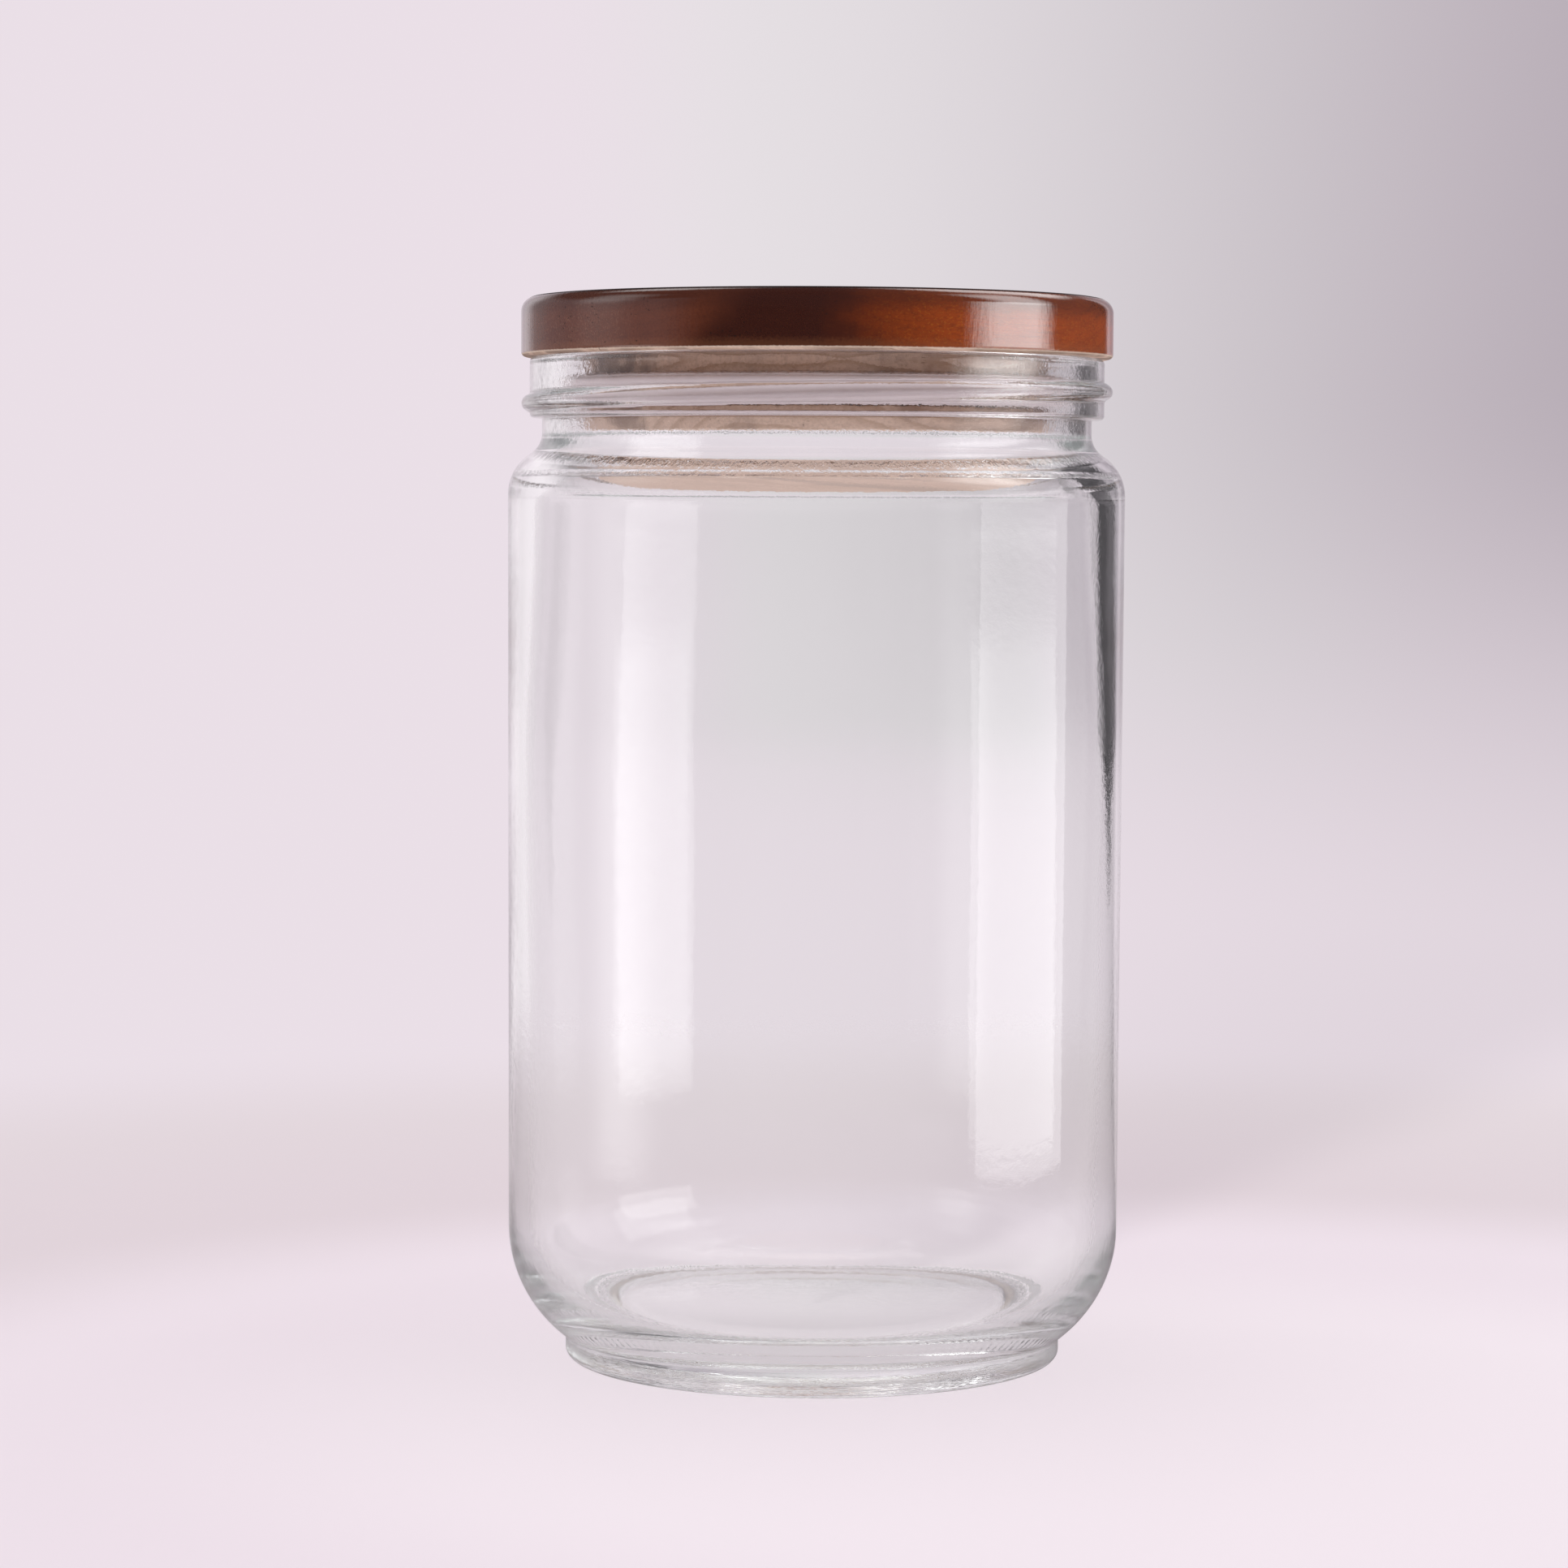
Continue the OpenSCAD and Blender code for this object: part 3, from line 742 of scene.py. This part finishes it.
# %% Silicone material
silicone, tree, surface, where = new_material("clear_silicone")
skin = place_group(tree, orange_peel, {"Vector": where, "Size": 0.0015, "Fine": 0.3})[0]
milk = blend_colours(tree, noise(tree, where, 260.0, 2.0), (0.90, 0.80, 0.80, 1), (0.96, 0.87, 0.87, 1))
soft = put(tree, "ShaderNodeBsdfPrincipled", {
    "Base Color": milk, "Roughness": 0.28, "IOR": 1.41, "Transmission Weight": 0.22,
    "Normal": dents(tree, 0.3, 0.00003, skin)})
tree.links.new(soft.outputs[0], surface.inputs["Surface"])

# %% Turn the ring
RING_IN_R, RING_BAND_R, LIP_R = 36.1, 40.9, 41.8
RING_LOW_Z, RING_H, LIP_ROOT, LIP_TIP = 157.1, 5.0, 1.9, 1.5


def lip(middle):
    """A lip's points, from its root below to its root above."""
    half = LIP_TIP / 2
    return ([(RING_BAND_R, middle - LIP_ROOT / 2 - 0.15), (RING_BAND_R + 0.2, middle - LIP_ROOT / 2)]
            + arc((LIP_R - half, middle), half, -90, 90, 8)
            + [(RING_BAND_R + 0.2, middle + LIP_ROOT / 2), (RING_BAND_R, middle + LIP_ROOT / 2 + 0.15)])


ring_outline = [(RING_IN_R, RING_LOW_Z + RING_H / 2), (RING_IN_R, RING_LOW_Z + 0.1)]
ring_outline += [(RING_IN_R + 0.1, RING_LOW_Z), (RING_BAND_R - 0.2, RING_LOW_Z)]
ring_outline += [(RING_BAND_R, RING_LOW_Z + 0.2)]
for quarter in (1, 3):
    ring_outline += lip(RING_LOW_Z + RING_H * quarter / 4)
ring_top = RING_LOW_Z + RING_H
ring_outline += [(RING_BAND_R, ring_top - 0.2), (RING_BAND_R - 0.2, ring_top), (RING_IN_R + 0.1, ring_top)]
ring_outline += [(RING_IN_R, ring_top - 0.1), (RING_IN_R, RING_LOW_Z + RING_H / 2)]
ring_rows = [(point, 0.0, 0.0, 0.0) for point in ring_outline]
ring = grow("Seal_Ring", outline_mesh("Ring_Outline", ring_rows), turned_shell, {
    "Segments": 256, "Thread Height": 0.0, "Thread Width": 1 * MM, "Thread Top": 0.0, "Thread Rise": 0.0,
    "Thread Fade": 0.1, "Marks": 1, "Mark Depth": 0.0, "Wave Length": 10 * MM, "Seed": 1.0,
    "Material": silicone})
measure(ring)

# %% [markdown]
# ## The stage
# The jar stands on a pale pinkish sweep of paper that runs up behind it with no edge. Near the jar it is a
# lit surface that takes the shadow. Further out its colour is fixed, so the backdrop stays even from every
# side, a little darker up to the right as in the photograph. What the glass reflects is the room, and most
# of a studio is dark. So the paper shows less of itself to rays that a surface mirrors or that are
# reflected inside the glass, and it shows them a bright card at the left. A dark gap at the right, which
# mirrored rays don't see, draws the dark line down the glass.

# %% Floor and sweep
FLAT_R, SWEEP_R, WALL_TOP = 0.8, 0.6, 1.8
UNLIT_DIMMING, FRONT_DIMMING, GAP_SHARE, LIT_SHARE = 0.97, 0.65, 0.94, 0.45
POOL_X, POOL_Y = 0.05, -0.06
PAPER, PAPER_BEHIND, PAPER_RIGHT_SHADE = (0.825, 0.74, 0.80, 1), (0.79, 0.745, 0.775, 1), (0.40, 0.35, 0.395, 1)
POOL_INSIDE, POOL_MIDDLE = (0.95, 0.88, 0.925, 1), (0.90, 0.82, 0.875, 1)
POOL_SHADE_RING, CARD, GAP = (0.79, 0.71, 0.745, 1), (1.0, 0.93, 0.975, 1), (0.03, 0.03, 0.032, 1)


def build_backdrop_paint():
    tree = bpy.data.node_groups.new("Backdrop_Paint", "ShaderNodeTree")
    sockets(tree, "INPUT", {"Vector": "Vector"})
    sockets(tree, "OUTPUT", {"Color": "Color"})
    sockets(tree, "OUTPUT", dict.fromkeys(("Card", "Gap", "Dimming", "Front Dimming"), "Float"))
    given = tree.nodes.new("NodeGroupInput").outputs
    x, y, z = split(tree, given["Vector"])
    turn = calc(tree, "ARCTAN2", x, y)
    reach = level_length(tree, (minus(tree, x, POOL_X), minus(tree, y, POOL_Y)))

    # The colour: a painted pool of light round the jar with a ring of painted shadow at its edge, and
    # paper that is darker behind it and has painted shade up to the right, where the light falls off.
    behind = times(tree, window(tree, turn, (-0.10, -0.01), (0.14, 0.26)), ramp(tree, z, 0.0, 0.1))
    # Painted shade: the paper darkens up to the right.
    right_shade = times(tree, window(tree, turn, (-0.06, 0.34), (0.35, 0.50)),
                     ramp(tree, z, -0.05, 0.2, 0.1, 0.9))
    colour = layered(tree, POOL_MIDDLE, (
        (ramp(tree, reach, 0.18, 0.26), POOL_SHADE_RING), (ramp(tree, reach, 0.17, 0.09), POOL_INSIDE),
        (ramp(tree, reach, 0.36, 0.52), PAPER), (behind, PAPER_BEHIND), (right_shade, PAPER_RIGHT_SHADE)))

    # The card and the gap, which is narrow on the floor and wide on the wall.
    card = times(tree, window(tree, turn, (-1.0, -0.8), (-0.45, -0.37)), ramp(tree, reach, 0.4, 0.6))
    gap_start, gap_end = ramp(tree, z, 0.0, 0.10, 0.535, 0.43), ramp(tree, z, 0.0, 0.10, 0.61, 0.80)
    gap = times(tree, ramp(tree, minus(tree, turn, gap_start), 0.0, 0.025),
                ramp(tree, minus(tree, turn, gap_end), 0.02, -0.02))
    gap = times(tree, gap, ramp(tree, reach, 0.74, 0.92))

    # The dark room: right, far left and high up for mirrored rays, in front and high up for bounced ones.
    dark_side = larger(tree, ramp(tree, turn, 0.47, 0.58), ramp(tree, turn, -2.0, -2.4))
    dark_side = larger(tree, dark_side, ramp(tree, z, 0.6, 1.0))
    dimming = ramp(tree, turn, -0.75, -0.5, 0.62, 0.05)
    dimming = plus(tree, dimming, times(tree, dark_side, minus(tree, UNLIT_DIMMING, dimming)))
    front = times(tree, ramp(tree, calc(tree, "ABSOLUTE", turn), 1.2, 1.6), ramp(tree, z, 0.0, 0.15))
    front = larger(tree, front, ramp(tree, z, 0.6, 1.0))
    put(tree, "NodeGroupOutput", {
        "Color": colour, "Card": card, "Gap": times(tree, gap, GAP_SHARE), "Dimming": dimming,
        "Front Dimming": times(tree, front, FRONT_DIMMING)})
    return tree


backdrop_paint = build_backdrop_paint()


def lathe_object(name, line, segments=96):
    """A surface of revolution for the stage, with its inner side facing the jar."""
    spots = [(r * math.cos(TURN * s / segments), r * math.sin(TURN * s / segments), z)
             for r, z in line for s in range(segments)]
    faces = [(i * segments + s, i * segments + (s + 1) % segments,
              (i + 1) * segments + (s + 1) % segments, (i + 1) * segments + s)
             for i in range(len(line) - 1) for s in range(segments)]
    mesh = bpy.data.meshes.new(name)
    mesh.from_pydata(spots, [], faces)
    mesh.polygons.foreach_set("use_smooth", [True] * len(faces))
    piece = bpy.data.objects.new(name, mesh)
    bpy.context.scene.collection.objects.link(piece)
    return piece


floor = lathe_object("Floor", [(0.0005, 0), (0.1, 0), (0.25, 0), (FLAT_R, 0)])
sweep = lathe_object("Sweep", arc((FLAT_R, SWEEP_R), SWEEP_R, -90, 0, 24) + [(FLAT_R + SWEEP_R, WALL_TOP)])
for name, piece, lit in (("Paper_Near", floor, True), ("Paper_Far", sweep, False)):
    paper, tree, surface, where = new_material(name)
    paint = place_group(tree, backdrop_paint, {"Vector": where})
    rays, mirrored, bounced = ray_kinds(tree)
    dimmed = plus(tree, times(tree, mirrored, paint["Dimming"]),
                  times(tree, bounced, paint["Front Dimming"]))
    card = times(tree, paint["Card"], plus(tree, mirrored, bounced))
    gap = times(tree, paint["Gap"], minus(tree, 1.0, mirrored))
    shown = layered(tree, paint["Color"], ((card, CARD), (gap, GAP)))
    fixed = put(tree, "ShaderNodeEmission", {"Color": shown, "Strength": minus(tree, 1.0, dimmed)})
    if lit:
        reach = level_length(tree, split(tree, where))
        matt = put(tree, "ShaderNodeBsdfDiffuse", {"Color": paint["Color"]})
        share = ramp(tree, reach, 0.15, 0.45, LIT_SHARE, 1.0)
        both = put(tree, "ShaderNodeMixShader", {0: share, 1: matt.outputs[0], 2: fixed.outputs[0]})
        tree.links.new(both.outputs[0], surface.inputs["Surface"])
    else:
        tree.links.new(fixed.outputs[0], surface.inputs["Surface"])
        piece.visible_diffuse = piece.visible_shadow = False
    piece.data.materials.append(paper)

# %% [markdown]
# ## Light
# A soft glow from all round gives every colour at about its own strength. A tall reflector at the right
# and a dimmer soft box at the left make the long bright bands down the glass. The lacquer wants a far
# brighter shape than the glass does, so it has a soft box and cards of its own, close to the lid and with
# a screen below them. One set of lamps could do both jobs, but then either the glass burns out or the lid
# looks dull. Each lamp that is mirrored is also hidden from plain view through the glass, as it would be
# outside the frame.

# %% World and lamps
GLOW, SEEN_GAIN, MIRRORED_LOSS, BOUNCED_LOSS = 0.75, 0.25, 0.73, 0.35
WASH_FADES, WASH_GAIN = (0.2, 0.2, 0.2, 0.05), 1.3
SCREEN_Z, SCREEN_TOP_Z, PAST_SCREEN = 158 * MM, 165 * MM, 0.2

world = bpy.data.worlds.new("Studio")
bpy.context.scene.world = world
world.use_nodes = True
tree = world.node_tree
tree.nodes.clear()
rays, mirrored, bounced = ray_kinds(tree)
seen = larger(tree, rays["Is Camera Ray"], rays["Is Transmission Ray"])
strength = plus(tree, times(tree, seen, SEEN_GAIN), GLOW)
strength = minus(tree, strength, times(tree, mirrored, MIRRORED_LOSS))
strength = minus(tree, strength, times(tree, bounced, BOUNCED_LOSS))
glow = put(tree, "ShaderNodeBackground", {"Color": (0.83, 0.76, 0.81, 1), "Strength": strength})
put(tree, "ShaderNodeOutputWorld", {"Surface": glow.outputs[0]})


def rectangle_lamp(name, place, width, height, radiance):
    """A rectangular lamp that faces down and that the camera doesn't see."""
    lamp = bpy.data.lights.new(name, "AREA")
    lamp.shape = "RECTANGLE"
    lamp.size, lamp.size_y = width, height
    lamp.energy = radiance * width * height * math.pi
    holder = bpy.data.objects.new(name, lamp)
    bpy.context.scene.collection.objects.link(holder)
    holder.location = place
    holder.visible_camera = False
    return holder


def area_lamp(name, place, aim, width, height, radiance, soft, for_gloss, flagged=False):
    """A lamp that faces a point and isn't seen itself, not even through the glass.

    Its light fades over a share of its size at the left, right, foot and head, as it does where the cloth
    isn't lit evenly. It either puts its shape on shiny surfaces or lights matt ones. A flagged one has a
    screen below it that keeps most of its light off the glass.
    """
    holder = rectangle_lamp(name, place, width, height, radiance)
    holder.rotation_mode = "QUATERNION"
    holder.rotation_quaternion = (Vector(aim) - Vector(place)).to_track_quat("-Z", "Y")
    holder.visible_diffuse = not for_gloss
    holder.visible_glossy = holder.visible_transmission = for_gloss
    holder.data.use_nodes = True
    tree = holder.data.node_tree
    tree.nodes.clear()
    geometry = put(tree, "ShaderNodeNewGeometry").outputs
    over, up, _ = split(tree, geometry["Parametric"])
    share = 1.0
    for value, edge, fade in zip((over, over, up, up), (0.0, 1.0, 0.0, 1.0), soft):
        if fade:
            share = times(tree, share, ramp(tree, value, edge, abs(edge - fade)))
    if for_gloss:
        rays = put(tree, "ShaderNodeLightPath").outputs
        unmirrored = minus(tree, 1.0, calc(tree, "MINIMUM", rays["Glossy Depth"], 1.0))
        seen_through = times(tree, calc(tree, "MINIMUM", rays["Transmission Depth"], 1.0), unmirrored)
        share = times(tree, share, minus(tree, 1.0, seen_through))
    if flagged:
        spot = split(tree, geometry["Position"])
        back = split(tree, geometry["Incoming"])
        away = minus(tree, level_length(tree, spot), CAP_R * MM)
        slope = calc(tree, "DIVIDE", back[2], level_length(tree, back))
        from_height = plus(tree, spot[2], times(tree, away, slope))
        share = times(tree, share, ramp(tree, from_height, SCREEN_Z, SCREEN_TOP_Z, PAST_SCREEN, 1.0))
    glow = put(tree, "ShaderNodeEmission", {"Strength": share})
    put(tree, "ShaderNodeOutputLight", {0: glow.outputs[0]})


def light_panel(name, place, aim, width, height, radiance, soft=(0, 0, 0, 0), gloss_only=False):
    """A panel whose shape shiny surfaces mirror and that, unless it is for gloss only, lights the rest."""
    area_lamp(name, place, aim, width, height, radiance, soft, True, flagged=gloss_only)
    if not gloss_only:
        area_lamp(name + "_Wash", place, aim, width, height, radiance * WASH_GAIN, WASH_FADES, False)


def soft_box(name, degrees, distance, width, low, high, radiance, soft=(0, 0, 0, 0), gloss_only=False):
    """An upright panel, so many degrees to the right of the camera's side, that faces the jar's axis."""
    turn = math.radians(degrees)
    place = (distance * math.sin(turn), -distance * math.cos(turn), (low + high) / 2)
    light_panel(name, place, (0, 0, place[2]), width, high - low, radiance, soft, gloss_only)


def high_card(name, way, distance, width, height, radiance, soft):
    """A panel for gloss only, in a given direction from the lid."""
    lid = Vector((0, 0, CAP_MIDDLE_Z * MM))
    place = lid + Vector(way).normalized() * distance
    light_panel(name, place, lid, width, height, radiance, soft, gloss_only=True)


soft_box("Right_Reflector", 77.5, 0.27, 0.20, 0.0, 0.155, 1.8, (0, 0, 0, 0.1))
soft_box("Right_Soft_Box", 70.8, 0.166, 0.134, 0.150, 0.22, 5.0, (0.36, 0.33, 0.2, 0.4), gloss_only=True)
high_card("Right_Mid_Card", (0.842, -0.103, 0.530), 0.33, 0.22, 0.34, 3.4, (0.35, 0.35, 0.2, 0.4))
high_card("Right_High_Card", (0.45, 0.45, 0.757), 0.5, 0.34, 0.42, 2.9, (0.35, 0.35, 0.3, 0.3))
soft_box("Left_Soft_Box", -70, 0.27, 0.17, 0.0, 0.162, 0.95, (0.4, 0.5, 0, 0.15))
high_card("Left_Mid_Card", (-0.90, -0.06, 0.36), 0.33, 0.24, 0.36, 0.9, (0.45, 0.45, 0.5, 0.3))
high_card("Left_High_Card", (-0.33, 0.46, 0.824), 0.5, 0.28, 0.28, 2.0, (0.45, 0.45, 0.45, 0.45))
overhead = rectangle_lamp("Overhead", (0.0, 0.05, 1.1), 0.9, 0.7, 2.1)
overhead.visible_glossy = False
print("lamps", sorted(lamp.name for lamp in bpy.data.lights))

# %% How light is followed
scene = bpy.context.scene
scene.view_settings.view_transform = "Standard"
scene.cycles.max_bounces = scene.cycles.transmission_bounces = scene.cycles.glossy_bounces = 48
scene.cycles.transparent_max_bounces = 24

# %% [markdown]
# ## Riding on the frame
# Each visible piece stands for its solid and moves with that solid's body: the ring lifts, and the wood
# lifts with it and turns.

for piece, body, node, slot in (
        (jar, "jar", "glass_jar", "clear_glass"),
        (ring, "seal", "seal_ring", "clear_silicone"),
        (lid_left, "lid", "lid_stave_left", "stained_wood"),
        (lid_right, "lid", "lid_stave_right", "stained_wood")):
    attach(piece, body)
    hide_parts(node)
